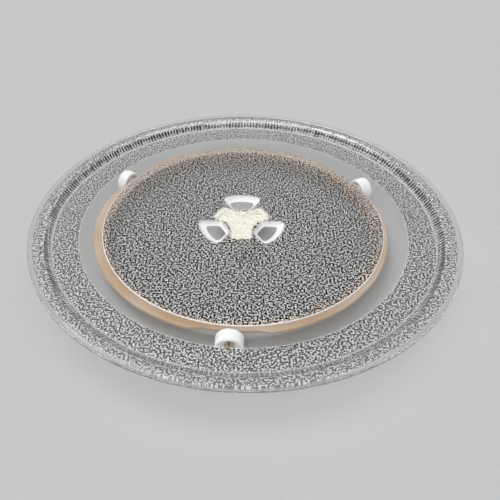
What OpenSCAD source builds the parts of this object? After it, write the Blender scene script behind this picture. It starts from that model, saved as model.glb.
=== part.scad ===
// Microwave turntable set: a pressed glass plate that turns on a roller ring with three wheels,
// driven by a three-lobed coupler. The origin is on the floor, on the plate's axis.

/* [Plate] */
// Diameter over the rim
plate_d = 245; // [235:1:260]
// Thickness of the flat glass
plate_t = 4.5; // [4:0.1:5.5]
// Width of the stippled band between the rim and the roller track
band_w = 14.9; // [13:0.1:17]
// How much higher the disc's underside lies than the roller track
disc_step = 0.6; // [0.3:0.1:1]
// Width of the smooth track that the wheels run on
track_w = 13.3; // [12:0.1:15]

/* [Rim] */
// Width of the rim, from its foot to the outer edge
rim_w = 12.5; // [11:0.5:14]
// Width of the rim's sloping wall
ramp_w = 5; // [4:0.5:6]
// Height of the rim's underside over the flat's underside
rim_rise = 5.4; // [4:0.1:8]
// Thickness of the glass in the rim
rim_t = 2.7; // [2.4:0.1:3.5]
// Thickness of the rounded lip
lip_t = 3; // [2.8:0.1:4]
// Number of radial ribs under the sloping wall
rib_count = 150; // [90:10:180]
// Width of one rib
rib_w = 1.6; // [1:0.1:2]
// Height of one rib at its middle, square to the wall
rib_h = 0.6; // [0.3:0.05:0.9]

/* [Lugs] */
// Height of the drive lugs under the disc
lug_h = 4.6; // [3.5:0.1:6]
// Distance of a lug's inner end from the coupler
lug_gap = 2.1; // [1.6:0.1:2.6]
// Distance from the axis to a lug's outer end
lug_out_r = 25.2; // [23:0.1:28]
// Angle between a lug's two sides
lug_angle = 60; // [50:1:60]
// Distance of a lug's sides from the radial lines at that angle
lug_side_gap = 0.6; // [0.4:0.1:1.5]
// How far a lug's sides draw in over its height
lug_side_draft = 2.6; // [1:0.1:3]
// How far a lug's outer end draws in over its height
lug_out_draft = 4.6; // [1:0.1:5]
// How far a lug's inner end draws in over its height
lug_in_draft = 1.8; // [0.5:0.1:2.5]
// Radius of a lug's upright corners at its foot
lug_corner_r = 3; // [2:0.1:3.5]

/* [Roller ring] */
// How far out of the track's middle the wheels run
path_out = 0.6; // [0:0.1:1]
// Width of the flange
flange_w = 8.6; // [7:0.1:10]
// Thickness of the flange
flange_t = 2.2; // [1.8:0.1:2.4]
// Height of the flange's top over the axles
flange_over = 4; // [3.7:0.1:4.6]
// How far the skirt reaches down under the axles
skirt_under = 3.6; // [3.6:0.1:4.6]
// Thickness of the skirt
skirt_t = 2.2; // [1.8:0.1:2.6]
// How far a wheel's boss stands out of the flange
boss_out = 2.6; // [2.2:0.1:3.4]
// Depth of the notch in the flange beside each wheel
notch_deep = 3.8; // [3:0.1:4.5]
// Width of the notch at its bottom
notch_w = 26; // [22:0.5:32]
// Radius of the ring's small rounded edges
ring_edge = 0.6; // [0.3:0.1:0.8]

/* [Axle pins] */
// Diameter of an axle pin
pin_d = 4.3; // [3.6:0.1:4.6]
// How far the snap head stands out round a pin
snap_lip = 0.5; // [0.3:0.05:0.6]
// Length of the snap head
snap_l = 1.7; // [1.2:0.1:2]
// Width of the slot that splits a pin
slot_w = 0.9; // [0.6:0.1:1.1]
// Length of that slot
slot_l = 4; // [3:0.1:5]
// Diameter of the boss behind a pin
boss_d = 6.8; // [6.2:0.1:7]

/* [Wheels] */
// Diameter of a wheel
wheel_d = 14.4; // [13.6:0.1:16]
// Width of a wheel
wheel_w = 7; // [6.6:0.1:8]
// Radius of the tread's rounded edges
tread_round = 0.9; // [0.5:0.1:1.2]
// Thickness of the tread round the recess in a wheel's outer face
tread_t = 1.8; // [1.6:0.1:2.2]
// Depth of that recess
recess_deep = 2.5; // [2.3:0.1:3]
// Depth of the ring-shaped hollow in a wheel's inner face
inner_deep = 1.8; // [1:0.1:2.2]
// Diameter of the hub in that hollow
hub_d = 7; // [6.6:0.1:7.4]
// Radial clearance of a pin in a wheel's bore
pin_clear = 0.05; // [0.03:0.01:0.08]
// End play of a wheel on its pin
end_play = 0.25; // [0.2:0.05:0.4]

/* [Drive coupler] */
// Distance from the axis to the end of a lobe
lobe_r = 16.8; // [16:0.1:18]
// Width of a lobe
lobe_w = 12.2; // [11:0.1:13]
// Radius of a lobe's corners
lobe_corner_r = 2.4; // [1.5:0.1:3]
// Radius of the hollows between the lobes
hollow_r = 12; // [9:0.5:13]
// Height of the lobes
coupler_h = 8; // [7:0.1:9]
// Depth of the pocket in the coupler's top
pocket_deep = 0.8; // [0.4:0.1:1.2]
// Width of the raised edge round that pocket
pocket_edge = 2.4; // [1.8:0.1:3]
// Thickness of the lobes' walls, open at the bottom
lobe_wall = 2; // [1.6:0.1:2.4]
// Diameter of the stem
stem_d = 12; // [11:0.1:13]
// Diameter of the drive shaft's socket
socket_d = 6.1; // [5.5:0.1:7]
// Distance from the socket's round side to its flat
socket_across = 5.35; // [5.3:0.01:5.5]
// Depth of the socket, with its round mouth
socket_deep = 11; // [8:0.5:12]
// Diameter of the socket's round mouth, which guides the shaft's foot
mouth_d = 7.1; // [6.8:0.1:8]
// Depth of that mouth
mouth_deep = 4; // [3:0.5:5]

/* [Layout] */
// Running gap between the wheels and the track, and between the coupler and the disc
running_gap = 0.25; // [0.2:0.05:0.4]
// Sideways distance of the loose ring's centre from the plate's axis
ring_off_x = -1.4; // [-2:0.1:2]
// Front to back distance of the loose ring's centre from the plate's axis
ring_off_y = 3; // [-3:0.1:3]
// Direction of the front wheel, seen from above
wheel_turn = 267.7; // [240:0.1:300]
// Gap between the coupler's stem and the floor
floor_gap = 0.4; // [0.3:0.1:1]

/* [Hidden] */
$fn = 96;
plate_r = plate_d / 2;
foot_r = plate_r - rim_w;
shelf_r = foot_r + ramp_w;
plate_z = wheel_d + running_gap;
disc_z = plate_z + disc_step;
disc_r = foot_r - band_w - track_w;
disc_edge_w = 0.8;
lug_turns = [90, 210, 330];
lobe_turns = [30, 150, 270];
// The sides of two lobes meet behind their hollow, each 30 degrees off square to the line that halves it
hollow_bottom_r = lobe_w / 2 / cos(30) + hollow_r * (1 / cos(30) - 1);
lug_in_r = hollow_bottom_r + lug_gap;
lug_root = 0.5;
lug_skin = 0.02;
lug_layers = [0, 0.4, 0.7, 0.9, 1];
corner_draft = 0.4;
ramp_steps = 8;
rib_steps = [0.1, 0.3, 0.5, 0.7, 0.9];
rib_root = 0.6;
lip_steps = 12;
skirt_draft = 0.3;
wheel_r = wheel_d / 2;
wheel_turns = [for (i = [0:2]) wheel_turn + 120 * i];
axle_z = wheel_r;
flange_z = axle_z + flange_over;
skirt_z = axle_z - skirt_under;
wheel_in_r = disc_r + track_w / 2 + path_out - wheel_w / 2;
web_z = wheel_w - recess_deep;
recess_r = wheel_r - tread_t;
recess_edge = 0.3;
recess_draft = 0.2;
bore_r = pin_d / 2 + pin_clear;
boss_end_r = wheel_in_r - end_play;
notch_r = boss_end_r - boss_out;
ring_r = notch_r + notch_deep;
ring_in_r = ring_r - flange_w;
skirt_out_r = ring_in_r + skirt_t;
snap_start_r = wheel_in_r + web_z + end_play;
snap_d = pin_d + 2 * snap_lip;
coupler_top = disc_z - running_gap;
coupler_z = coupler_top - coupler_h;
roof_t = 3;

// 0 to 1 with level ends
function ease(u) = (1 - cos(180 * u)) / 2;

// Rise of the sloping wall from its foot to the shelf, as points from low r to high r
function ramp(start_r, low, high) =
    [for (i = [0:ramp_steps]) [start_r + ramp_w * i / ramp_steps, low + (high - low) * ease(i / ramp_steps)]];

// Point of the sloping wall's underside, moved out by a distance square to the wall
function wall_out(u, out) = let (slope = atan(rim_rise * PI / 2 * sin(180 * u) / ramp_w))
    [foot_r + ramp_w * u + out * sin(slope), rim_rise * ease(u) - out * cos(slope)];

// Half circle of the lip, from its underside to its top
function lip_arc() = let (r = lip_t / 2)
    [for (i = [0:lip_steps]) let (a = -90 + 180 * i / lip_steps)
        [plate_r - r + r * cos(a), rim_rise + r + r * sin(a)]];

function reversed(list) = [for (i = [len(list) - 1:-1:0]) list[i]];

module plate_section() {
    polygon(concat(
        [[0, disc_step], [disc_r - disc_edge_w, disc_step], [disc_r, 0]],
        ramp(foot_r, 0, rim_rise),
        lip_arc(),
        reversed(ramp(foot_r, plate_t, rim_rise + rim_t)),
        [[0, plate_t]]
    ));
}

// Radial ribs that stand out of the sloping wall's underside
module ribs() {
    for (i = [0:rib_count - 1])
        rotate([0, 0, (i + 0.5) * 360 / rib_count])
            rotate([90, 0, 0])
                linear_extrude(rib_w, center = true)
                    polygon(concat([for (u = rib_steps) wall_out(u, rib_h * sin(180 * u))],
                        reversed([for (u = rib_steps) wall_out(u, -rib_root)])));
}

// Outline of a lug; draw is 0 at its foot and 1 at its bottom
module lug_outline(draw) {
    out_r = lug_out_r - lug_out_draft * draw;
    in_r = lug_in_r + lug_in_draft * draw;
    side = lug_side_gap + lug_side_draft * draw;
    half = lug_angle / 2;
    apex = side / sin(half);
    reach = 2 * lug_out_r;
    corner_r = lug_corner_r * (1 - corner_draft * draw);
    offset(r = corner_r, $fn = 32)
        offset(delta = -corner_r)
            intersection() {
                circle(r = out_r);
                polygon([[apex, 0], [reach, (reach - apex) * tan(half)], [reach, -(reach - apex) * tan(half)]]);
                translate([in_r, -reach]) square([reach, 2 * reach]);
            }
}

// One drive lug, rounded from its upright foot to its level bottom
module lug() {
    hull()
        for (k = lug_layers)
            translate([0, 0, -lug_h * k])
                linear_extrude(k == 0 ? lug_root : lug_skin)
                    lug_outline(1 - sqrt(1 - k * k));
}

module glass_turntable() {
    color([0.86, 0.9, 0.9, 0.4])
        union() {
            translate([0, 0, plate_z]) {
                rotate_extrude($fn = 180) plate_section();
                ribs();
            }
            for (a = lug_turns)
                rotate([0, 0, a]) translate([0, 0, disc_z]) lug();
        }
}

module at_ring() {
    translate([ring_off_x, ring_off_y, 0]) children();
}

// Turns a shape that is built along +Z from the ring's axis to lie along the axle in direction a
module along_axle(a, r) {
    at_ring()
        rotate([0, 0, a])
            translate([r, 0, axle_z])
                rotate([0, 90, 0])
                    children();
}

module ring_section() {
    e = ring_edge;
    polygon([
        [ring_in_r, flange_z - e], [ring_in_r + e, flange_z],
        [ring_r - e, flange_z], [ring_r, flange_z - e],
        [ring_r, flange_z - flange_t + e], [ring_r - e, flange_z - flange_t],
        [skirt_out_r + e, flange_z - flange_t], [skirt_out_r, flange_z - flange_t - e],
        [skirt_out_r - skirt_draft, skirt_z + e], [skirt_out_r - skirt_draft - e, skirt_z],
        [ring_in_r + skirt_draft, skirt_z]
    ]);
}

// What a notch takes out of the flange: sides that open outwards, and a round bottom
module notch() {
    half = notch_w / 2;
    mouth = half + notch_deep + ring_edge;
    depth = notch_deep + ring_edge;
    difference() {
        translate([0, 0, flange_z - flange_t - ring_edge])
            linear_extrude(flange_t + 2 * ring_edge)
                polygon([[notch_r - half, 0], [notch_r, -half], [notch_r + depth, -mouth],
                    [notch_r + depth, mouth], [notch_r, half]]);
        cylinder(r = notch_r, h = 3 * flange_z, center = true, $fn = 180);
    }
}

// Boss and split snap pin of one wheel
module axle_pin(a) {
    start = skirt_out_r - skirt_t / 2;
    tip_r = snap_start_r + snap_l;
    difference() {
        union() {
            along_axle(a, start) cylinder(d = boss_d, h = boss_end_r - start);
            along_axle(a, start) cylinder(d = pin_d, h = snap_start_r - start);
            along_axle(a, snap_start_r) cylinder(d1 = snap_d, d2 = pin_d - slot_w, h = snap_l);
        }
        along_axle(a, tip_r - slot_l)
            translate([-snap_d, -slot_w / 2, 0]) cube([2 * snap_d, slot_w, 2 * slot_l]);
    }
}

module roller_ring() {
    color([0.82, 0.67, 0.55]) {
        difference() {
            at_ring() rotate_extrude($fn = 180) ring_section();
            for (a = wheel_turns)
                at_ring() rotate([0, 0, a]) notch();
        }
        for (a = wheel_turns) axle_pin(a);
    }
}

module wheel_section() {
    q = tread_round;
    edge = [for (i = [0:5]) 18 * i];
    polygon(concat(
        [[bore_r, 0], [hub_d / 2, 0], [hub_d / 2, inner_deep], [recess_r, inner_deep], [recess_r, 0]],
        [for (a = edge) [wheel_r - q + q * sin(a), q - q * cos(a)]],
        [for (a = edge) [wheel_r - q + q * cos(a), wheel_w - q + q * sin(a)]],
        [[recess_r + recess_edge, wheel_w], [recess_r, wheel_w - recess_edge], [recess_r - recess_draft, web_z],
            [bore_r, web_z]]
    ));
}

module wheel(index) {
    color([0.96, 0.96, 0.95])
        along_axle(wheel_turns[index], wheel_in_r)
            rotate_extrude() wheel_section();
}

module wheel_1() { wheel(0); }

module wheel_2() { wheel(1); }

module wheel_3() { wheel(2); }

// Outline of the coupler: three lobes that lie between the lugs, with round hollows between them
module coupler_outline() {
    offset(r = lobe_corner_r, $fn = 32)
        offset(delta = -lobe_corner_r)
            offset(r = -hollow_r, $fn = 72)
                offset(delta = hollow_r)
                    for (a = lobe_turns)
                        rotate(a)
                            intersection() {
                                circle(r = lobe_r, $fn = 72);
                                translate([0, -lobe_w / 2]) square([lobe_r, lobe_w]);
                            }
}

module drive_coupler() {
    color([0.93, 0.9, 0.83])
        difference() {
            union() {
                translate([0, 0, coupler_z]) linear_extrude(coupler_h) coupler_outline();
                translate([0, 0, floor_gap]) cylinder(d = stem_d, h = coupler_top - roof_t - floor_gap);
            }
            translate([0, 0, coupler_top - pocket_deep])
                linear_extrude(2 * pocket_deep) offset(delta = -pocket_edge) coupler_outline();
            translate([0, 0, coupler_z - 1])
                linear_extrude(coupler_h - roof_t + 1)
                    difference() {
                        offset(delta = -lobe_wall) coupler_outline();
                        circle(d = stem_d);
                    }
            translate([0, 0, floor_gap - 1]) {
                cylinder(d = mouth_d, h = mouth_deep + 1);
                difference() {
                    cylinder(d = socket_d, h = socket_deep + 1);
                    translate([socket_across - socket_d / 2, -socket_d, 0])
                        cube([socket_d, 2 * socket_d, socket_deep + 2]);
                }
            }
        }
}

glass_turntable();
roller_ring();
wheel_1();
wheel_2();
wheel_3();
drive_coupler();
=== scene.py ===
import math
import random
import bpy
import bmesh
from mathutils import Matrix, Vector
from mathutils.geometry import delaunay_2d_cdt


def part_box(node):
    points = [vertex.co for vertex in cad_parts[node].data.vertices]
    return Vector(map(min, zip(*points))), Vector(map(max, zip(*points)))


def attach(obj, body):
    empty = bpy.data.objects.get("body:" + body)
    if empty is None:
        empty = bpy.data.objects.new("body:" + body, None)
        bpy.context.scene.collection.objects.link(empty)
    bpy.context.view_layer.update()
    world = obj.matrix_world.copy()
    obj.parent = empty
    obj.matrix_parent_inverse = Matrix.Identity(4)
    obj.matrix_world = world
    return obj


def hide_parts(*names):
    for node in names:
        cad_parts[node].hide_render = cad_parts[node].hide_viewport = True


# Microwave turntable: a clear pressed glass plate on a tan roller ring with three white wheels,
# driven by a cream coupler. Lengths in the settings are millimetres, angles are degrees.

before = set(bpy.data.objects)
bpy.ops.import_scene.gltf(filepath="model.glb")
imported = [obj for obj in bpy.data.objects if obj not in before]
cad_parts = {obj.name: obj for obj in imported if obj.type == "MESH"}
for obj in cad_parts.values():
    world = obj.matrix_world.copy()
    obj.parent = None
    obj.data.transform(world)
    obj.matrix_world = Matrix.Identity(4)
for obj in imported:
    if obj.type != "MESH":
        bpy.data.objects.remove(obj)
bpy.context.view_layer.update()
scene = bpy.context.scene
mm = 0.001


# Camera, at the photograph's viewing angle

cameraSet = {
    "place": (0.0, -256.92, 217.73),
    "turn": (48.97, 1.058, 2.584),
    "lens": 39.6,
    "shift": 0.0684,
}


def makeCamera():
    data = bpy.data.cameras.new("studioCamera")
    data.lens = cameraSet["lens"]
    data.sensor_width = 36
    data.shift_x = cameraSet["shift"]
    data.clip_start = 0.01
    data.clip_end = 50
    camera = bpy.data.objects.new("studioCamera", data)
    camera.location = Vector(cameraSet["place"]) * mm
    camera.rotation_euler = [math.radians(a) for a in cameraSet["turn"]]
    scene.collection.objects.link(camera)
    scene.camera = camera


makeCamera()
print("camera placed")


# Small helpers for node trees and meshes

def clearNodes(tree):
    tree.nodes.clear()
    return tree.nodes, tree.links


def addNode(nodes, kind, **values):
    node = nodes.new(kind)
    for name, value in values.items():
        setattr(node, name, value)
    return node


def mathNode(nodes, links, operation, first, second=None):
    node = addNode(nodes, "ShaderNodeMath", operation=operation)
    for socket, value in zip(node.inputs, (first, second)):
        if value is None:
            continue
        if isinstance(value, (int, float)):
            socket.default_value = value
        else:
            links.new(value, socket)
    return node.outputs[0]


def noiseNode(nodes, links, size, detail, **values):
    # Noise on object coordinates, with cells of a size given in metres
    coords = addNode(nodes, "ShaderNodeTexCoord")
    noise = addNode(nodes, "ShaderNodeTexNoise", **values)
    noise.inputs["Detail"].default_value = detail
    links.new(coords.outputs["Object"], noise.inputs["Vector"])
    links.new(mathNode(nodes, links, "DIVIDE", 1.0, size), noise.inputs["Scale"])
    return noise.outputs["Fac"]


def shaderGroup(name, inputs, outputs):
    # A shader node group with named sockets: four numbers make a colour and three a vector
    group = bpy.data.node_groups.new(name, "ShaderNodeTree")
    kinds = {4: "NodeSocketColor", 3: "NodeSocketVector", 1: "NodeSocketFloat"}
    for title, start in inputs.items():
        kind = kinds[len(start) if isinstance(start, tuple) else 1]
        group.interface.new_socket(title, in_out="INPUT", socket_type=kind).default_value = start
    for title, size in outputs.items():
        group.interface.new_socket(title, in_out="OUTPUT", socket_type=kinds[size])
    return group, addNode(group.nodes, "NodeGroupInput"), addNode(group.nodes, "NodeGroupOutput")


def arcPoints(cx, cy, radius, start, end, steps):
    angles = [start + (end - start) * i / steps for i in range(steps + 1)]
    return [(cx + radius * math.cos(a), cy + radius * math.sin(a)) for a in angles]


def addLoop(bm, points):
    return [bm.verts.new(Vector(p) * mm) for p in points]


def circleLoop(bm, radius, z, count):
    angles = [2 * math.pi * i / count for i in range(count)]
    return addLoop(bm, [(radius * math.cos(a), radius * math.sin(a), z) for a in angles])


def joinLoops(bm, first, second):
    # Walls between two closed loops; one may have a whole number of times the other's points
    if len(first) > len(second):
        first, second = second, first
    ratio = len(second) // len(first)
    faces = []
    for i in range(len(first)):
        j = (i + 1) % len(first)
        fine = [second[(i * ratio + k) % len(second)] for k in range(ratio + 1)]
        faces.append(bm.faces.new([first[j], first[i]] + fine))
    return faces


def joinAll(bm, loops):
    for first, second in zip(loops, loops[1:]):
        joinLoops(bm, first, second)


def fillLoops(bm, loops):
    # A flat face set between an outer loop and the loops inside it
    edges = []
    for loop in loops:
        for first, second in zip(loop, loop[1:] + loop[:1]):
            edges.append(bm.edges.get((first, second)) or bm.edges.new((first, second)))
    bmesh.ops.triangle_fill(bm, use_beauty=True, edges=edges)


def finishMesh(bm, name, material):
    bmesh.ops.recalc_face_normals(bm, faces=bm.faces)
    if bm.calc_volume(signed=True) < 0:
        bmesh.ops.reverse_faces(bm, faces=bm.faces)
    for face in bm.faces:
        face.smooth = True
    mesh = bpy.data.meshes.new(name)
    bm.to_mesh(mesh)
    bm.free()
    mesh.materials.append(material)
    piece = bpy.data.objects.new(name, mesh)
    scene.collection.objects.link(piece)
    return piece


def placePiece(piece, body, slot, *nodes):
    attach(piece, body)
    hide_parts(*nodes)


# Glass: one pressed grain and painted-shade group for its clear, stippled and satin surfaces

glassLooks = {
    "clearGlass": {
        "finish": {"Color": (0.975, 0.985, 0.98, 1), "Grain Depth": 0.0},
        "roughness": 0.012, "transmission": 1.0, "shadow": 0.95,
    },
    "stippledGlass": {
        # the Dark settings draw the stipple's painted shade into the base colour
        "finish": {"Color": (0.95, 0.96, 0.955, 1), "Dark Color": (0.0, 0.0, 0.0, 1),
                   "Dark Size": 1.0 * mm, "Dark Start": 0.55, "Dark Full": 0.49, "Grain Depth": 0.08 * mm},
        "roughness": 0.14, "transmission": 0.78, "shadow": 0.88,
    },
    "satinGlass": {
        "finish": {"Color": (0.97, 0.975, 0.97, 1), "Grain Depth": 0.03 * mm},
        "roughness": 0.25, "transmission": 0.2, "shadow": 0.88,
    },
}
glassIor = 1.52


def pressedGrainAndShade():
    # Painted shade: dark spots where the mesh is stippled and dark dashes between its ribs, in place of the dark
    # surroundings that the glass refracts; and a fine grain
    group, given, result = shaderGroup("pressedGrainAndShade", {
        "Color": (0.97, 0.98, 0.98, 1), "Dark Color": (0.05, 0.05, 0.05, 1), "Dark Size": 0.001,
        "Dark Start": 0.55, "Dark Full": 0.45, "Grain Size": 0.0007, "Grain Depth": 0.0001,
    }, {"Color": 4, "Normal": 3})
    nodes, links = group.nodes, group.links
    marks = [addNode(nodes, "ShaderNodeAttribute", attribute_name=name).outputs["Fac"]
             for name in ("stipplePaintedShade", "ribPaintedShade")]
    # the dark spots are painted shade from a noise; they don't follow the mesh's pebbles
    shadeSpots = addNode(nodes, "ShaderNodeMapRange", interpolation_type="SMOOTHSTEP")
    links.new(noiseNode(nodes, links, given.outputs["Dark Size"], 0.5, noise_dimensions="2D"), shadeSpots.inputs["Value"])
    links.new(given.outputs["Dark Start"], shadeSpots.inputs["From Min"])
    links.new(given.outputs["Dark Full"], shadeSpots.inputs["From Max"])
    # depth here is the strength of the painted shade, not a depth of the glass
    depth = mathNode(nodes, links, "MULTIPLY", shadeSpots.outputs["Result"], marks[0])
    shadedColor = addNode(nodes, "ShaderNodeMix", data_type="RGBA")
    links.new(mathNode(nodes, links, "MAXIMUM", depth, marks[1]), shadedColor.inputs["Factor"])
    links.new(given.outputs["Color"], shadedColor.inputs["A"])
    links.new(given.outputs["Dark Color"], shadedColor.inputs["B"])
    bump = addNode(nodes, "ShaderNodeBump")
    links.new(given.outputs["Grain Depth"], bump.inputs["Distance"])
    links.new(noiseNode(nodes, links, given.outputs["Grain Size"], 1), bump.inputs["Height"])
    links.new(shadedColor.outputs["Result"], result.inputs["Color"])
    links.new(bump.outputs["Normal"], result.inputs["Normal"])
    return group


def glassMaterial(name, finish):
    look = glassLooks[name]
    material = bpy.data.materials.new(name)
    material.use_nodes = True
    nodes, links = clearNodes(material.node_tree)
    group = addNode(nodes, "ShaderNodeGroup", node_tree=finish)
    for socket, value in look["finish"].items():
        group.inputs[socket].default_value = value
    glass = addNode(nodes, "ShaderNodeBsdfPrincipled")
    glass.inputs["IOR"].default_value = glassIor
    glass.inputs["Roughness"].default_value = look["roughness"]
    glass.inputs["Transmission Weight"].default_value = look["transmission"]
    # the base colour carries the painted shade of the stipple and the ribs
    links.new(group.outputs["Color"], glass.inputs["Base Color"])
    links.new(group.outputs["Normal"], glass.inputs["Normal"])
    clear = addNode(nodes, "ShaderNodeBsdfTransparent")
    clear.inputs["Color"].default_value = (look["shadow"],) * 3 + (1,)
    path = addNode(nodes, "ShaderNodeLightPath")
    mix = addNode(nodes, "ShaderNodeMixShader")
    links.new(path.outputs["Is Shadow Ray"], mix.inputs[0])
    links.new(glass.outputs[0], mix.inputs[1])
    links.new(clear.outputs[0], mix.inputs[2])
    output = addNode(nodes, "ShaderNodeOutputMaterial")
    links.new(mix.outputs[0], output.inputs["Surface"])
    return material


# Plastics: one moulded finish, with each part's own colour and grain

def mouldedFinish():
    group, given, result = shaderGroup("mouldedFinish", {
        "Color": (0.8, 0.8, 0.8, 1), "Cloud Color": (0.7, 0.7, 0.7, 1), "Cloud Size": 0.01,
        "Grain Size": 0.0004, "Grain Depth": 0.00002, "Roughness": 0.4,
    }, {"Color": 4, "Roughness": 1, "Normal": 3})
    nodes, links = group.nodes, group.links
    cloud = noiseNode(nodes, links, given.outputs["Cloud Size"], 3)
    grain = noiseNode(nodes, links, given.outputs["Grain Size"], 2)
    tone = addNode(nodes, "ShaderNodeMapRange", interpolation_type="SMOOTHSTEP")
    tone.inputs["From Min"].default_value = 0.35
    tone.inputs["From Max"].default_value = 0.7
    links.new(cloud, tone.inputs["Value"])
    mix = addNode(nodes, "ShaderNodeMix", data_type="RGBA")
    links.new(tone.outputs["Result"], mix.inputs["Factor"])
    links.new(given.outputs["Color"], mix.inputs["A"])
    links.new(given.outputs["Cloud Color"], mix.inputs["B"])
    rough = mathNode(nodes, links, "MULTIPLY_ADD", grain, 0.16)
    rough.node.inputs[2].default_value = -0.08
    rough = mathNode(nodes, links, "ADD", rough, given.outputs["Roughness"])
    bump = addNode(nodes, "ShaderNodeBump")
    links.new(given.outputs["Grain Depth"], bump.inputs["Distance"])
    links.new(grain, bump.inputs["Height"])
    links.new(mix.outputs["Result"], result.inputs["Color"])
    links.new(rough, result.inputs["Roughness"])
    links.new(bump.outputs["Normal"], result.inputs["Normal"])
    return group


plasticLooks = {
    "tanPlastic": {
        "Color": (0.48, 0.335, 0.22, 1), "Cloud Color": (0.57, 0.45, 0.37, 1), "Cloud Size": 0.045,
        "Grain Size": 0.00045, "Grain Depth": 0.00003, "Roughness": 0.42,
    },
    "whitePlastic": {
        "Color": (0.95, 0.95, 0.94, 1), "Cloud Color": (0.91, 0.91, 0.89, 1), "Cloud Size": 0.006,
        "Grain Size": 0.0003, "Grain Depth": 0.00001, "Roughness": 0.28,
    },
    "creamPlastic": {
        "Color": (0.9, 0.86, 0.76, 1), "Cloud Color": (0.88, 0.82, 0.7, 1), "Cloud Size": 0.009,
        "Grain Size": 0.0004, "Grain Depth": 0.00002, "Roughness": 0.38,
    },
}


def plasticMaterial(name, finish):
    material = bpy.data.materials.new(name)
    material.use_nodes = True
    nodes, links = clearNodes(material.node_tree)
    group = addNode(nodes, "ShaderNodeGroup", node_tree=finish)
    for socket, value in plasticLooks[name].items():
        group.inputs[socket].default_value = value
    plastic = addNode(nodes, "ShaderNodeBsdfPrincipled")
    plastic.inputs["IOR"].default_value = 1.49
    links.new(group.outputs["Color"], plastic.inputs["Base Color"])
    links.new(group.outputs["Roughness"], plastic.inputs["Roughness"])
    links.new(group.outputs["Normal"], plastic.inputs["Normal"])
    output = addNode(nodes, "ShaderNodeOutputMaterial")
    links.new(plastic.outputs[0], output.inputs["Surface"])
    return material


pressed = pressedGrainAndShade()
glasses = {name: glassMaterial(name, pressed) for name in glassLooks}
finish = mouldedFinish()
tanPlastic = plasticMaterial("tanPlastic", finish)
whitePlastic = plasticMaterial("whitePlastic", finish)
creamPlastic = plasticMaterial("creamPlastic", finish)
print("materials made")


# Layout, read from the frame

plateLow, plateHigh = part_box("glass_turntable")
wheelBoxes = [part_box("wheel_%d" % i) for i in (1, 2, 3)]
couplerLow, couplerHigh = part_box("drive_coupler")
ringLow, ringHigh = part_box("roller_ring")
plateR = min(-plateLow.x, -plateLow.y, plateHigh.x, plateHigh.y) / mm
wheelD = wheelBoxes[0][1].z / mm
runningGap = 0.25
ringOff = (-1.4, 3.0)
wheelTurns = (267.7, 27.7, 147.7)


# Roller ring

ringSet = {
    "inR": 77.9,
    "outR": 86.5,
    "notchR": 84.2,
    "notchIn": 9.5,
    "notchOut": 14.0,
    "topZ": ringHigh.z / mm,
    "flangeT": 2.2,
    "skirtT": 2.2,
    "bottomZ": 3.6,
    "edge": 0.6,
    "draft": 0.3,
    "turnSteps": 720,
}
pinSet = {
    "axleZ": 7.2,
    "rootR": 79.2,
    "bossR": 3.4,
    "bossEnd": 85.3,
    "pinR": 2.15,
    "snapStart": 90.3,
    "snapR": 2.65,
    "snapL": 1.7,
    "tipR": 1.7,
    "slotW": 0.9,
    "slotL": 4.0,
}


def ringEdgeR(turn, inset):
    # Radius of the flange's outer edge in one direction: it slopes down to a shallow notch at each wheel
    s = ringSet
    away = min(abs((turn - wheelTurn + 180) % 360 - 180) for wheelTurn in wheelTurns)
    slope = min(max((away - s["notchIn"]) / (s["notchOut"] - s["notchIn"]), 0), 1)
    return s["notchR"] + (s["outR"] - s["notchR"]) * slope - inset


def buildRing():
    s = ringSet
    e = s["edge"]
    top, under, bottom = s["topZ"], s["topZ"] - s["flangeT"], s["bottomZ"]
    skirtR = s["inR"] + s["skirtT"]
    turns = [wheelTurns[0] + 360 * i / s["turnSteps"] for i in range(s["turnSteps"])]
    bm = bmesh.new()
    loops = []

    def ringAt(z, radius=None, inset=0.0):
        points = []
        for turn in turns:
            r = ringEdgeR(turn, inset) if radius is None else radius
            a = math.radians(turn)
            points.append((ringOff[0] + r * math.cos(a), ringOff[1] + r * math.sin(a), z))
        loops.append(addLoop(bm, points))

    corner = [math.pi / 2 * k / 4 for k in range(5)]
    ringAt(top, s["inR"] + e + 0.2)
    ringAt(top, None, e + 0.15)
    for a in corner:
        ringAt(top - e * (1 - math.cos(a)), None, e * (1 - math.sin(a)))
    for a in corner:
        ringAt(under + e * (1 - math.sin(a)), None, e * (1 - math.cos(a)))
    ringAt(under, None, e + 0.15)
    for a in corner:
        ringAt(under - e * (1 - math.cos(a)), skirtR + e * (1 - math.sin(a)))
    for a in corner:
        ringAt(bottom + e * (1 - math.sin(a)), skirtR - s["draft"] - e * (1 - math.cos(a)))
    for a in corner[1:]:
        ringAt(bottom + e / 2 * (1 - math.cos(a)), s["inR"] + s["draft"] + e / 2 * (1 - math.sin(a)))
    for a in corner:
        ringAt(top - e * (1 - math.sin(a)), s["inR"] + e * (1 - math.cos(a)))
    loops.append(loops[0])
    joinAll(bm, loops)
    return finishMesh(bm, "tanRollerRing", tanPlastic)


def axleMatrix(turn):
    # Local X runs out along the axle and local Z is up
    a = math.radians(turn)
    out = Vector((math.cos(a), math.sin(a), 0))
    place = Vector((ringOff[0], ringOff[1], pinSet["axleZ"])) * mm
    side = Vector((0, 0, 1)).cross(out)
    return Matrix.Translation(place) @ Matrix((out, side, Vector((0, 0, 1)))).transposed().to_4x4()


def revolve(section, count, closed):
    # Turns (distance along, radius) points about local X
    bm = bmesh.new()
    loops = []
    for along, radius in section:
        angles = [2 * math.pi * i / count for i in range(count)]
        loops.append(addLoop(bm, [(along, radius * math.cos(a), radius * math.sin(a)) for a in angles]))
    if closed:
        loops.append(loops[0])
    joinAll(bm, loops)
    if not closed:
        bm.faces.new(loops[0])
        bm.faces.new(loops[-1])
    return bm


def roundCorner(x, r, size, start, end, steps=5):
    # Arc of a section's rounded corner about its own centre, as (along, radius) points
    angles = [math.radians(start + (end - start) * k / steps) for k in range(steps + 1)]
    return [(x + size * math.cos(a), r + size * math.sin(a)) for a in angles]


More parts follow.
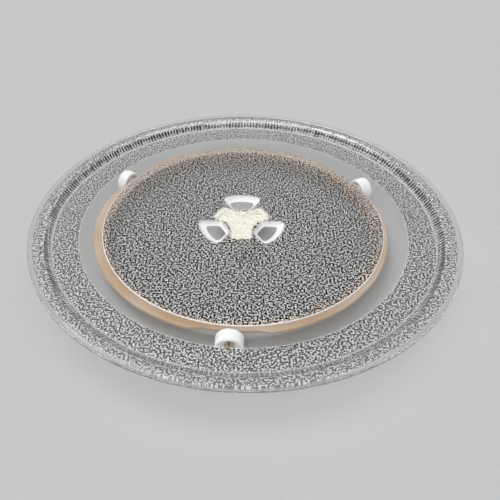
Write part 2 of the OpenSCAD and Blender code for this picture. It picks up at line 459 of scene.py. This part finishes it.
def combine(piece, other, operation):
    modifier = piece.modifiers.new("combine", "BOOLEAN")
    modifier.operation = operation
    modifier.solver = "EXACT"
    modifier.object = other
    shown = piece.evaluated_get(bpy.context.evaluated_depsgraph_get())
    mesh = bpy.data.meshes.new_from_object(shown)
    piece.modifiers.clear()
    piece.data = mesh
    bpy.data.objects.remove(other)


def addPins(ring):
    s = pinSet
    e = 0.4
    boss = [(s["rootR"], s["bossR"])] + roundCorner(s["bossEnd"] - e, s["bossR"] - e, e, 90, 0)
    boss += [(s["bossEnd"], s["pinR"] + 0.3), (s["bossEnd"] + 0.1, s["pinR"] + 0.1),
             (s["bossEnd"] + 0.3, s["pinR"])]
    tip = s["snapStart"] + s["snapL"]
    snap = [(s["snapStart"], s["pinR"])] + roundCorner(s["snapStart"] + 0.2, s["snapR"] - 0.2, 0.2, 180, 60)
    snap += roundCorner(tip - 0.25, s["tipR"] - 0.25, 0.25, 60, 0)
    for i, turn in enumerate(wheelTurns):
        pinMesh = revolve(boss + snap, 64, False)
        bmesh.ops.transform(pinMesh, matrix=axleMatrix(turn), verts=pinMesh.verts)
        pin = finishMesh(pinMesh, "pin%d" % i, tanPlastic)
        slotMesh = bmesh.new()
        bmesh.ops.create_cube(slotMesh, size=1)
        size = Vector((2 * s["slotL"], s["slotW"], 12)) * mm
        bmesh.ops.scale(slotMesh, vec=size, verts=slotMesh.verts)
        bmesh.ops.translate(slotMesh, vec=Vector((tip, 0, 0)) * mm, verts=slotMesh.verts)
        bmesh.ops.transform(slotMesh, matrix=axleMatrix(turn), verts=slotMesh.verts)
        slot = finishMesh(slotMesh, "slot%d" % i, tanPlastic)
        combine(pin, slot, "DIFFERENCE")
        combine(ring, pin, "UNION")
    ring.data.name = ring.name
    for polygon in ring.data.polygons:
        polygon.use_smooth = True
    ring.data.set_sharp_from_angle(angle=math.radians(35))


ring = buildRing()
addPins(ring)
placePiece(ring, "ring", "tan_plastic", "roller_ring")
print("roller ring moulded:", len(ring.data.polygons), "faces")


# Wheels

wheelSet = {
    "startR": 85.55,
    "radius": wheelD / 2,
    "width": 7.0,
    "round": 0.9,
    "boreR": 2.2,
    "hubR": 3.5,
    "recessR": 5.4,
    "recess": 2.5,
    "inner": 1.8,
    "edge": 0.3,
    "count": 120,
}


def wheelSection():
    s = wheelSet
    w, e, q = s["width"], s["edge"], s["round"]
    web = w - s["recess"]
    points = roundCorner(e, s["boreR"] + e, e, 270, 180, 3)
    points += roundCorner(e, s["hubR"] - e, e, 180, 90, 3)
    points += [(s["inner"] - e, s["hubR"])] + roundCorner(s["inner"] - e, s["hubR"] + e, e, 270, 360, 3)[1:]
    points += roundCorner(s["inner"] - e, s["recessR"] - e, e, 0, 90, 3)
    points += roundCorner(e, s["recessR"] + e, e, 270, 180, 3)
    points += roundCorner(q, s["radius"] - q, q, 180, 90, 7)
    points += roundCorner(w - q, s["radius"] - q, q, 90, 0, 7)
    points += roundCorner(w - e, s["recessR"] + e, e, 0, -90, 4)
    points += roundCorner(web + e, s["recessR"] - 0.1 - e, e, 90, 180, 4)
    points += roundCorner(web - e, s["boreR"] + e, e, 0, -90, 3)
    return points


def buildWheel(name, turn):
    section = [(along + wheelSet["startR"], radius) for along, radius in wheelSection()]
    bm = revolve(section, wheelSet["count"], True)
    bmesh.ops.transform(bm, matrix=axleMatrix(turn), verts=bm.verts)
    return finishMesh(bm, name, whitePlastic)


for number, (body, turn) in enumerate(zip(("front_wheel", "right_wheel", "left_wheel"), wheelTurns), 1):
    wheel = buildWheel(body.split("_")[0] + "RollerWheel", turn)
    placePiece(wheel, body, "white_plastic", "wheel_%d" % number)
print("wheels turned")


# Drive coupler

couplerSet = {
    "lobeTurns": (30, 150, 270),
    "lobeR": 16.8,
    "lobeHalf": 6.1,
    "hubR": 8.9,
    "cornerR": 2.4,
    "hollowR": 12.0,
    "topZ": couplerHigh.z / mm,
    "height": 8.0,
    "roofT": 3.0,
    "wall": 2.0,
    "pocket": 1.4,
    "pocketEdge": 2.4,
    "edge": 0.5,
    "bottomZ": couplerLow.z / mm,
    "stemR": 6.0,
    "mouthR": 3.55,
    "mouthDeep": 4.0,
    "socketR": 3.05,
    "socketFlat": 2.3,
    "socketDeep": 11.0,
}


def lobeOutline(inset):
    # The three lobes' outline, drawn in by the inset; the hollows between the lobes grow with it
    s = couplerSet
    half, endR = s["lobeHalf"] - inset, s["lobeR"] - inset
    corner, hollow = max(s["cornerR"] - inset, 0.3), s["hollowR"] + inset
    hollowX = (half + hollow) / math.tan(math.radians(60))
    cornerX = math.sqrt((endR - corner) ** 2 - (half - corner) ** 2)
    endTurn = math.atan2(half - corner, cornerX)
    side = arcPoints(0, 0, endR, 0, endTurn, 4)
    side += arcPoints(cornerX, half - corner, corner, endTurn, math.pi / 2, 7)[1:]
    side += arcPoints(hollowX, half + hollow, hollow, -math.pi / 2, -math.pi * 2 / 3, 6)
    lobe = [(x, -y) for x, y in reversed(side[1:])] + side[:-1]
    points = []
    for turn in s["lobeTurns"]:
        spin = Matrix.Rotation(math.radians(turn), 2)
        points += [spin @ Vector(p) for p in lobe]
    return points


def buildCoupler():
    s = couplerSet
    e = s["edge"]
    top, bottom = s["topZ"], s["bottomZ"]
    under = top - s["height"]
    roof, floor = top - s["roofT"], top - s["pocket"]
    bm = bmesh.new()

    def outlineAt(z, inset):
        return addLoop(bm, [(p.x, p.y, z) for p in lobeOutline(inset)])

    quarter = [math.pi / 2 * k / 4 for k in range(5)]
    shell = [outlineAt(roof, s["wall"] + 0.25), outlineAt(roof - 0.25, s["wall"]), outlineAt(under + 0.2, s["wall"])]
    shell += [outlineAt(under, s["wall"] - 0.2), outlineAt(under, 0.2), outlineAt(under + 0.2, 0)]
    shell += [outlineAt(top - e * (1 - math.sin(a)), e * (1 - math.cos(a))) for a in quarter]
    shell += [outlineAt(top - 0.3 * (1 - math.cos(a)), s["pocketEdge"] - 0.3 * (1 - math.sin(a))) for a in quarter]
    shell += [outlineAt(floor + 0.2, s["pocketEdge"]), outlineAt(floor, s["pocketEdge"] + 0.2)]
    joinAll(bm, shell)
    fillLoops(bm, [shell[-1]])
    stem = [circleLoop(bm, r, z, 96) for r, z in (
        (s["stemR"] + 0.5, roof), (s["stemR"] + 0.15, roof - 0.15), (s["stemR"], roof - 0.5),
        (s["stemR"], bottom + e), (s["stemR"] - 0.15, bottom + 0.15), (s["stemR"] - e, bottom),
        (s["mouthR"] + 0.3, bottom), (s["mouthR"], bottom + 0.3), (s["mouthR"], bottom + s["mouthDeep"]))]
    joinAll(bm, stem)
    fillLoops(bm, [shell[0], stem[0]])
    flatTurn = math.acos(s["socketFlat"] / s["socketR"])
    outline = arcPoints(0, 0, s["socketR"], flatTurn, 2 * math.pi - flatTurn, 60)
    steps = [(s["mouthDeep"], bottom + s["mouthDeep"]), (0, bottom + s["socketDeep"])]
    socket = [addLoop(bm, [(x, y, z) for x, y in outline]) for _, z in steps]
    joinAll(bm, socket)
    fillLoops(bm, [stem[-1], socket[0]])
    fillLoops(bm, [socket[-1]])
    coupler = finishMesh(bm, "creamDriveCoupler", creamPlastic)
    coupler.data.set_sharp_from_angle(angle=math.radians(40))
    return coupler


coupler = buildCoupler()
placePiece(coupler, "turntable", "cream_plastic", "drive_coupler")
print("coupler moulded:", len(coupler.data.polygons), "faces")


# Glass plate

plateSet = {
    "underZ": wheelD + runningGap,
    "thick": 4.5,
    "step": 0.6,
    "stepW": 0.45,
    "rimW": 12.5,
    "rampW": 5.0,
    "bandW": 14.9,
    "trackW": 13.3,
    "rise": 5.4,
    "rimT": 2.7,
    "lipT": 3.0,
    "clearLip": 2.4,
    # marks: strength of the stipple's painted shade on the outer band and the shelf; backShadeFade thins it towards +Y
    # over the track band
    "outerMark": 0.95,
    "shelfMark": 0.88,
    "backShadeFadeW": 5.5,
    "backShadeFade": 0.4,
    "coarse": 480,
    "fine": 1920,
}
lugSet = {
    "turns": (90, 210, 330),
    "height": 4.6,
    "outR": 25.2,
    "inR": 11.05,
    "halfAngle": 30.0,
    "sideGap": 0.6,
    "outDraft": 4.6,
    "inDraft": 1.8,
    "sideDraft": 2.6,
    "cornerR": 3.0,
    "cornerDraft": 0.4,
    "fillet": 0.35,
    "border": 0.25,
    "wallSteps": 10,
    "clearDraw": 0.9,
}
reliefSet = {
    "Rib Count": 320,
    "Rib Height": 0.45 * mm,
    "Rib Sharpness": 1.3,
    # strength of the shade painted in dashes between the ribs
    "Rib Painted Shade": 1.5,
    "Pebble Depth": 0.42 * mm,
    "Seed": 5,
}
# overCoupler: strength of the stipple's painted shade over the coupler
netSet = {"spacing": 1.05, "jitter": 0.22, "margin": 0.6, "seed": 11, "overCoupler": 0.25}


def ease(u):
    return (1 - math.cos(math.pi * u)) / 2


def lugOutline(grow, draw):
    # Half of the outline, from the outer end's middle round to the inner end's middle, then its mirror
    s = lugSet
    half = math.radians(s["halfAngle"])
    outR = s["outR"] - s["outDraft"] * draw + grow
    inR = s["inR"] + s["inDraft"] * draw - grow
    side = s["sideGap"] + s["sideDraft"] * draw - grow
    corner = s["cornerR"] * (1 - s["cornerDraft"] * draw) + grow
    along = Vector((math.cos(half), math.sin(half)))
    inward = Vector((math.sin(half), -math.cos(half)))
    start = Vector((side / math.sin(half), 0)) + inward * corner
    b = start.dot(along)
    q = start.dot(start) - (outR - corner) ** 2
    outer = start + along * (-b + math.sqrt(b * b - q))
    inner = start + along * ((inR + corner - start.x) / along.x)
    turn = math.atan2(outer.y, outer.x)
    sideTurn = math.pi / 2 + half
    points = arcPoints(0, 0, outR, 0, turn, 9)
    points += arcPoints(outer.x, outer.y, corner, turn, sideTurn, 9)[1:]
    first, last = outer - inward * corner, inner - inward * corner
    points += [tuple(first.lerp(last, k / 4)) for k in (1, 2, 3)]
    points += arcPoints(inner.x, inner.y, corner, sideTurn, math.pi, 7)
    points += [(inR, inner.y * k) for k in (0.5, 0)]
    return points + [(x, -y) for x, y in reversed(points[1:-1])]


def glassKind(name):
    return list(glassLooks).index(name)


def outsideLugs(x, y, margin):
    # True where a point of the underside keeps the margin to every lug's border
    s = lugSet
    if math.hypot(x, y) > s["outR"] + 2:
        return True
    outline = lugOutline(s["fillet"] + s["border"] + margin, 0)
    for turn in s["turns"]:
        p = Matrix.Rotation(-math.radians(turn), 2) @ Vector((x, y))
        sides = zip(outline, outline[1:] + outline[:1])
        if all((b[0] - a[0]) * (p.y - a[1]) > (b[1] - a[1]) * (p.x - a[0]) for a, b in sides):
            return False
    return True


def stippleAt(x, y):
    # How strong the stipple's painted shade is: weaker on the rim's shelf and outer band, fading towards the back (+Y)
    # of the track band so that more of the ring's tan shows through there, and little over the pale coupler
    s = couplerSet
    p = plateSet
    inward = plateR - math.hypot(x, y)
    if inward < p["rimW"]:
        return p["shelfMark"]
    if inward < p["rimW"] + p["bandW"]:
        return p["outerMark"]
    if inward < p["rimW"] + p["bandW"] + p["trackW"] + p["backShadeFadeW"]:
        return 1 - p["backShadeFade"] * max(y, 0) / math.hypot(x, y)
    if math.hypot(x, y) < s["hubR"]:
        return netSet["overCoupler"]
    for turn in s["lobeTurns"]:
        p = Matrix.Rotation(-math.radians(turn), 2) @ Vector((x, y))
        if 0 < p.x < s["lobeR"] and abs(p.y) < s["lobeHalf"]:
            return netSet["overCoupler"]
    return 1


def fillPebbled(bm, loops, innerR, outerR, z, layers):
    # A flat net of scattered points between the first loop and the ones inside it, for the pebbles
    s = netSet
    stipple, pebble, finishKind = layers
    draw = random.Random(s["seed"])
    verts = [vert for loop in loops for vert in loop]
    owners = [number for number, loop in enumerate(loops) for _ in loop]
    edges = []
    for loop in loops:
        first = verts.index(loop[0])
        edges += [(first + i, first + (i + 1) % len(loop)) for i in range(len(loop))]
    spots = [vert.co.xy / mm for vert in verts]
    margin = s["margin"] * s["spacing"]
    rowStep = s["spacing"] * math.sqrt(3) / 2
    rows = math.ceil(outerR / rowStep)
    columns = math.ceil(outerR / s["spacing"])
    for row in range(-rows, rows + 1):
        for column in range(-columns, columns + 1):
            x = (column + row % 2 / 2 + draw.uniform(-s["jitter"], s["jitter"])) * s["spacing"]
            y = row * rowStep + draw.uniform(-s["jitter"], s["jitter"]) * s["spacing"]
            if not innerR + margin < math.hypot(x, y) < outerR - margin:
                continue
            if outsideLugs(x, y, margin):
                spots.append(Vector((x, y)))
                owners.append(-1)
                verts.append(bm.verts.new((x * mm, y * mm, z * mm)))
                # each net point takes the stipple's painted shade of its place
                verts[-1][stipple] = stippleAt(x, y)
                verts[-1][pebble] = 1
    _, _, corners, sources, _, _ = delaunay_2d_cdt(spots, edges, [], 0, 1e-6)
    for corner in corners:
        three = [sources[i][0] for i in corner]
        kinds = {owners[i] for i in three}
        if len(kinds) > 1 or kinds <= {-1, 0}:
            face = bm.faces.new([verts[i] for i in three])
            face[finishKind] = glassKind("stippledGlass")


def addLug(bm, turn, baseZ, layers):
    s = lugSet
    stipple, _, finishKind = layers
    # only the outermost level carries the stipple's painted shade
    levels = [(s["fillet"] + s["border"], 0, 0, 1), (s["fillet"], 0, 0, 0)]
    for k in range(1, 4):
        a = math.pi / 2 * k / 4
        levels.append((s["fillet"] * (1 - math.sin(a)), 0, s["fillet"] * (1 - math.cos(a)), 0))
    for k in range(s["wallSteps"] + 1):
        t = math.pi / 2 * k / s["wallSteps"]
        depth = s["fillet"] + (s["height"] - s["fillet"]) * math.sin(t)
        levels.append((0, 1 - math.cos(t), depth, 0))
    levels.append((-0.12, 1, s["height"], 0))
    spin = Matrix.Rotation(math.radians(turn), 2)
    loops = []
    for grow, draw, depth, mark in levels:
        flat = [spin @ Vector(p) for p in lugOutline(grow, draw)]
        loop = addLoop(bm, [(p.x, p.y, baseZ - depth) for p in flat])
        for vert in loop:
            vert[stipple] = mark
        if loops:
            kind = glassKind("satinGlass" if 0 < draw < s["clearDraw"] else "clearGlass")
            for face in joinLoops(bm, loops[-1], loop):
                face[finishKind] = kind
        loops.append(loop)
    bm.faces.new(loops[-1])
    return loops[0]


def buildPlate():
    s = plateSet
    footR = plateR - s["rimW"]
    shelfR = footR + s["rampW"]
    trackR = footR - s["bandW"]
    discR = trackR - s["trackW"]
    clearR = plateR - s["clearLip"]
    lipR = s["lipT"] / 2
    under, top = s["underZ"], s["underZ"] + s["thick"]
    shelfUnder, shelfTop = under + s["rise"], under + s["rise"] + s["rimT"]
    discZ = under + s["step"]
    bm = bmesh.new()
    reach = bm.verts.layers.float.new("ribReach")
    stipple = bm.verts.layers.float.new("stipplePaintedShade")
    layers = (stipple, bm.verts.layers.float.new("pebbleReach"), bm.faces.layers.float.new("finishKind"))
    loops = []

    def ringAt(radius, z, mark=0.0, rib=0.0, fine=False, glass="clearGlass"):
        # The next ring, with its strength of painted shade, joined to the last one by faces of one kind of glass
        loop = circleLoop(bm, radius, z, s["fine"] if fine else s["coarse"])
        for vert in loop:
            vert[stipple] = mark
            vert[reach] = rib
        if loops:
            for face in joinLoops(bm, loops[-1], loop):
                face[layers[2]] = glassKind(glass)
        loops.append(loop)

    # Underside, from the pebbled disc out to the lip; the pebbled nets fill the gaps left in the rings
    edgeR = discR - s["stepW"] - 0.1
    ringAt(edgeR, discZ)
    # the disc's edge ring takes the stipple's painted shade of its place
    for vert in loops[0]:
        vert[stipple] = stippleAt(vert.co.x / mm, vert.co.y / mm)
    for k in range(6):
        ringAt(discR - s["stepW"] * (1 - k / 5), discZ - s["step"] * ease(k / 5), glass="satinGlass")
    ringAt(discR + 0.2, under)
    ringAt(trackR - 0.15, under)
    ringAt(trackR + 0.15, under, s["outerMark"], glass="satinGlass")
    disc, loops = loops, []
    ringAt(footR - 0.5, under, s["outerMark"])
    ringAt(footR - 0.2, under, s["outerMark"] / 2, 0.0, True, "stippledGlass")
    rows = 12
    for k in range(rows + 1):
        u = k / rows
        rib = math.sin(math.pi * u ** 2) ** 0.7
        # the ramp's painted shade grows towards the shelf
        mark = s["shelfMark"] * (1 + ease(u)) / 2
        ringAt(footR + s["rampW"] * u, under + s["rise"] * ease(u), mark, rib, True, "stippledGlass")
    ringAt(shelfR + 0.2, shelfUnder, s["shelfMark"], 0.0, True, "stippledGlass")
    ringAt(shelfR + 0.5, shelfUnder, s["shelfMark"], glass="stippledGlass")
    wall, loops = loops, []
    ringAt(clearR - 0.2, shelfUnder, s["shelfMark"])
    ringAt(clearR, shelfUnder)

    # Lip, then the top back to the middle
    for k in range(17):
        a = math.pi * (k / 16 - 0.5)
        ringAt(plateR - lipR + lipR * math.cos(a), shelfUnder + lipR + lipR * math.sin(a))
    bead = s["lipT"] - s["rimT"]
    for k in range(1, 6):
        u = k / 5
        ringAt(plateR - lipR - 1.4 * u, shelfUnder + s["lipT"] - bead * ease(u))
    ringAt(shelfR + 0.2, shelfTop)
    for k in range(rows + 1):
        u = 1 - k / rows
        ringAt(footR + s["rampW"] * u, top + (shelfTop - top) * ease(u))
    ringAt(footR - 0.2, top)
    ringAt(footR - 20, top)
    bm.faces.new(loops[-1])

    borders = [addLug(bm, turn, discZ, layers) for turn in lugSet["turns"]]
    fillPebbled(bm, [disc[0]] + borders, 0, edgeR, discZ, layers)
    fillPebbled(bm, [wall[0], disc[-1]], trackR + 0.15, footR - 0.5, under, layers)
    fillPebbled(bm, [loops[0], wall[-1]], shelfR + 0.5, clearR - 0.2, shelfUnder, layers)
    return finishMesh(bm, "pressedGlassPlate", glasses["clearGlass"])


def reliefTree():
    # Raises radial ribs out of the wall and presses pebbles into the flats, as far as the reaches allow, and stores
    # painted shade between the ribs
    tree = bpy.data.node_groups.new("pressedRelief", "GeometryNodeTree")
    face = tree.interface
    face.new_socket("Geometry", in_out="INPUT", socket_type="NodeSocketGeometry")
    for name, kind in (("Rib Count", "NodeSocketInt"), ("Rib Height", "NodeSocketFloat"),
                       ("Rib Sharpness", "NodeSocketFloat"), ("Rib Painted Shade", "NodeSocketFloat"),
                       ("Pebble Depth", "NodeSocketFloat"), ("Seed", "NodeSocketInt")):
        face.new_socket(name, in_out="INPUT", socket_type=kind)
    for name in glassLooks:
        face.new_socket(name, in_out="INPUT", socket_type="NodeSocketMaterial")
    face.new_socket("Geometry", in_out="OUTPUT", socket_type="NodeSocketGeometry")
    nodes, links = tree.nodes, tree.links
    given = addNode(nodes, "NodeGroupInput")

    def reachOf(name):
        reach = addNode(nodes, "GeometryNodeInputNamedAttribute", data_type="FLOAT")
        reach.inputs["Name"].default_value = name
        return reach.outputs["Attribute"]

    def chanceOf(number=None):
        # A random share of one, for each point or for each number
        chance = addNode(nodes, "FunctionNodeRandomValue", data_type="FLOAT")
        links.new(given.outputs["Seed"], chance.inputs["Seed"])
        if number:
            links.new(number, chance.inputs["ID"])
        return chance.outputs[1]

    place = addNode(nodes, "GeometryNodeInputPosition")
    split = addNode(nodes, "ShaderNodeSeparateXYZ")
    links.new(place.outputs[0], split.inputs[0])
    turn = mathNode(nodes, links, "ARCTAN2", split.outputs["Y"], split.outputs["X"])
    phase = mathNode(nodes, links, "MULTIPLY", turn, given.outputs["Rib Count"])
    wave = mathNode(nodes, links, "COSINE", phase)
    wave = mathNode(nodes, links, "ADD", mathNode(nodes, links, "MULTIPLY", wave, 0.5), 0.5)
    wave = mathNode(nodes, links, "POWER", wave, given.outputs["Rib Sharpness"])
    number = mathNode(nodes, links, "FLOOR", mathNode(nodes, links, "DIVIDE", phase, 2 * math.pi))
    length = chanceOf(number)
    # painted shade in the gaps between ribs, in dashes of random length per rib
    between = mathNode(nodes, links, "MULTIPLY", mathNode(nodes, links, "SUBTRACT", 1.0, wave), 2.0)
    between = mathNode(nodes, links, "MULTIPLY", between, reachOf("ribReach"))
    between = mathNode(nodes, links, "SUBTRACT", between, length)
    shade = addNode(nodes, "GeometryNodeStoreNamedAttribute", data_type="FLOAT", domain="POINT")
    shade.inputs["Name"].default_value = "ribPaintedShade"
    links.new(given.outputs["Geometry"], shade.inputs["Geometry"])
    links.new(mathNode(nodes, links, "MULTIPLY", between, given.outputs["Rib Painted Shade"]), shade.inputs["Value"])
    ribs = mathNode(nodes, links, "MULTIPLY", wave, reachOf("ribReach"))
    ribs = mathNode(nodes, links, "MULTIPLY", ribs, given.outputs["Rib Height"])
    pebbles = mathNode(nodes, links, "MULTIPLY", chanceOf(), reachOf("pebbleReach"))
    pebbles = mathNode(nodes, links, "MULTIPLY", pebbles, given.outputs["Pebble Depth"])
    normal = addNode(nodes, "GeometryNodeInputNormal")
    offset = addNode(nodes, "ShaderNodeVectorMath", operation="SCALE")
    links.new(normal.outputs[0], offset.inputs[0])
    links.new(mathNode(nodes, links, "SUBTRACT", ribs, pebbles), offset.inputs["Scale"])
    move = addNode(nodes, "GeometryNodeSetPosition")
    links.new(shade.outputs[0], move.inputs["Geometry"])
    links.new(offset.outputs[0], move.inputs["Offset"])
    real = addNode(nodes, "GeometryNodeRealizeInstances")
    links.new(move.outputs[0], real.inputs[0])
    painted = real.outputs[0]
    for name in glassLooks:
        paint = addNode(nodes, "GeometryNodeSetMaterial")
        chosen = mathNode(nodes, links, "COMPARE", reachOf("finishKind"), glassKind(name))
        links.new(painted, paint.inputs["Geometry"])
        links.new(chosen, paint.inputs["Selection"])
        links.new(given.outputs[name], paint.inputs["Material"])
        painted = paint.outputs[0]
    result = addNode(nodes, "NodeGroupOutput")
    links.new(painted, result.inputs[0])
    return tree


def runTree(piece, tree, values):
    # Sets the tree's inputs, then keeps its result as the piece's plain mesh
    modifier = piece.modifiers.new(tree.name, "NODES")
    modifier.node_group = tree
    for item in tree.interface.items_tree:
        if item.in_out == "INPUT" and item.name in values:
            modifier[item.identifier] = values[item.name]
    shown = piece.evaluated_get(bpy.context.evaluated_depsgraph_get())
    mesh = bpy.data.meshes.new_from_object(shown)
    mesh.name = piece.name
    piece.modifiers.clear()
    piece.data = mesh


plate = buildPlate()
runTree(plate, reliefTree(), dict(reliefSet, **glasses))
placePiece(plate, "turntable", "clear_glass", "glass_turntable")
print("glass plate pressed:", len(plate.data.polygons), "faces")


# Studio: a pale floor under a sky of soft light, with softboxes that only the camera can't see

studioSet = {
    "floorTone": (0.5, 0.5, 0.505, 1),
    "skyPeak": 4.0,
    "skyLevels": ((0.0, 0.11), (0.42, 0.11), (0.55, 0.02), (0.86, 0.02), (0.94, 0.3), (1.0, 0.3)),
}
softboxSet = (
    {"name": "keyBox", "azimuth": 150, "elevation": 64, "Width": 0.27, "Height": 0.27, "Level": 5.6},
    {"name": "frontBox", "azimuth": 262, "elevation": 52, "Width": 0.35, "Height": 0.25, "Level": 4.4},
    {"name": "fillBox", "azimuth": 35, "elevation": 66, "Width": 0.2, "Height": 0.2, "Level": 3.0},
    {"name": "backBox", "azimuth": 85, "elevation": 15, "Width": 0.6, "Height": 0.06, "Level": 2.8},
    {"name": "leftBox", "azimuth": 190, "elevation": 15, "Width": 0.4, "Height": 0.12, "Level": 4.0},
    {"name": "rightBox", "azimuth": -20, "elevation": 30, "Width": 0.25, "Height": 0.2, "Level": 2.5},
)
softboxEdge = 0.03


def makeFloor():
    bm = bmesh.new()
    bmesh.ops.create_grid(bm, x_segments=1, y_segments=1, size=6)
    mesh = bpy.data.meshes.new("studioFloor")
    bm.to_mesh(mesh)
    bm.free()
    material = bpy.data.materials.new("paleFloor")
    material.use_nodes = True
    shader = material.node_tree.nodes["Principled BSDF"]
    shader.inputs["Base Color"].default_value = studioSet["floorTone"]
    shader.inputs["Roughness"].default_value = 0.9
    shader.inputs["Specular IOR Level"].default_value = 0.1
    mesh.materials.append(material)
    floor = bpy.data.objects.new("studioFloor", mesh)
    scene.collection.objects.link(floor)


def throughGlass(nodes, links):
    # 0 for light that a dull surface would get through the glass's refraction, which its clear shadow already lets in
    path = addNode(nodes, "ShaderNodeLightPath")
    bounced = mathNode(nodes, links, "GREATER_THAN", path.outputs["Diffuse Depth"], 0.5)
    twice = mathNode(nodes, links, "MULTIPLY", bounced, path.outputs["Is Transmission Ray"])
    return mathNode(nodes, links, "SUBTRACT", 1.0, twice)


def softboxGroup():
    # A soft-edged rectangle of light round one direction of the sky
    group, given, result = shaderGroup("softbox", {
        "Direction": (0, 0, 1), "Centre": (0, 0, 1), "Right": (1, 0, 0), "Up": (0, 1, 0),
        "Width": 0.2, "Height": 0.2, "Edge": 0.03, "Level": 1.0,
    }, {"Level": 1})
    nodes, links = group.nodes, group.links

    def along(axis):
        dot = addNode(nodes, "ShaderNodeVectorMath", operation="DOT_PRODUCT")
        links.new(given.outputs["Direction"], dot.inputs[0])
        links.new(given.outputs[axis], dot.inputs[1])
        return dot.outputs["Value"]

    ahead = along("Centre")
    level = mathNode(nodes, links, "MULTIPLY", given.outputs["Level"], mathNode(nodes, links, "GREATER_THAN", ahead, 0))
    for axis, size in (("Right", "Width"), ("Up", "Height")):
        away = mathNode(nodes, links, "ABSOLUTE", mathNode(nodes, links, "DIVIDE", along(axis), ahead))
        inside = addNode(nodes, "ShaderNodeMapRange", interpolation_type="SMOOTHSTEP")
        links.new(away, inside.inputs["Value"])
        reach = (given.outputs[size], given.outputs["Edge"])
        links.new(mathNode(nodes, links, "ADD", *reach), inside.inputs["From Min"])
        links.new(mathNode(nodes, links, "SUBTRACT", *reach), inside.inputs["From Max"])
        level = mathNode(nodes, links, "MULTIPLY", level, inside.outputs["Result"])
    links.new(level, result.inputs["Level"])
    return group


def makeWorld():
    world = bpy.data.worlds.new("softSky")
    scene.world = world
    world.use_nodes = True
    nodes, links = clearNodes(world.node_tree)
    coords = addNode(nodes, "ShaderNodeTexCoord")
    split = addNode(nodes, "ShaderNodeSeparateXYZ")
    links.new(coords.outputs["Generated"], split.inputs[0])
    ramp = addNode(nodes, "ShaderNodeValToRGB")
    links.new(split.outputs["Z"], ramp.inputs["Fac"])
    stops = ramp.color_ramp.elements
    levels = studioSet["skyLevels"]
    while len(stops) < len(levels):
        stops.new(0.5)
    for stop, (height, level) in zip(stops, levels):
        stop.position = height
        stop.color = (level, level, level, 1)
    light = mathNode(nodes, links, "MULTIPLY", ramp.outputs["Color"], studioSet["skyPeak"])
    group = softboxGroup()
    boxes = None
    for s in softboxSet:
        a, b = math.radians(s["azimuth"]), math.radians(s["elevation"])
        centre = Vector((math.cos(b) * math.cos(a), math.cos(b) * math.sin(a), math.sin(b)))
        right = Vector((-math.sin(a), math.cos(a), 0))
        box = addNode(nodes, "ShaderNodeGroup", node_tree=group, name=s["name"])
        links.new(coords.outputs["Generated"], box.inputs["Direction"])
        for name, axis in (("Centre", centre), ("Right", right), ("Up", right.cross(centre))):
            box.inputs[name].default_value = axis
        for name in ("Width", "Height", "Level"):
            box.inputs[name].default_value = s[name]
        box.inputs["Edge"].default_value = softboxEdge
        level = box.outputs["Level"]
        boxes = level if boxes is None else mathNode(nodes, links, "ADD", boxes, level)
    path = addNode(nodes, "ShaderNodeLightPath")
    unseen = mathNode(nodes, links, "SUBTRACT", 1.0, path.outputs["Is Camera Ray"])
    light = mathNode(nodes, links, "ADD", light, mathNode(nodes, links, "MULTIPLY", boxes, unseen))
    sky = addNode(nodes, "ShaderNodeBackground")
    links.new(mathNode(nodes, links, "MULTIPLY", light, throughGlass(nodes, links)), sky.inputs["Strength"])
    output = addNode(nodes, "ShaderNodeOutputWorld")
    links.new(sky.outputs[0], output.inputs["Surface"])


makeFloor()
makeWorld()
scene.view_settings.view_transform = "Standard"
print("studio lit")
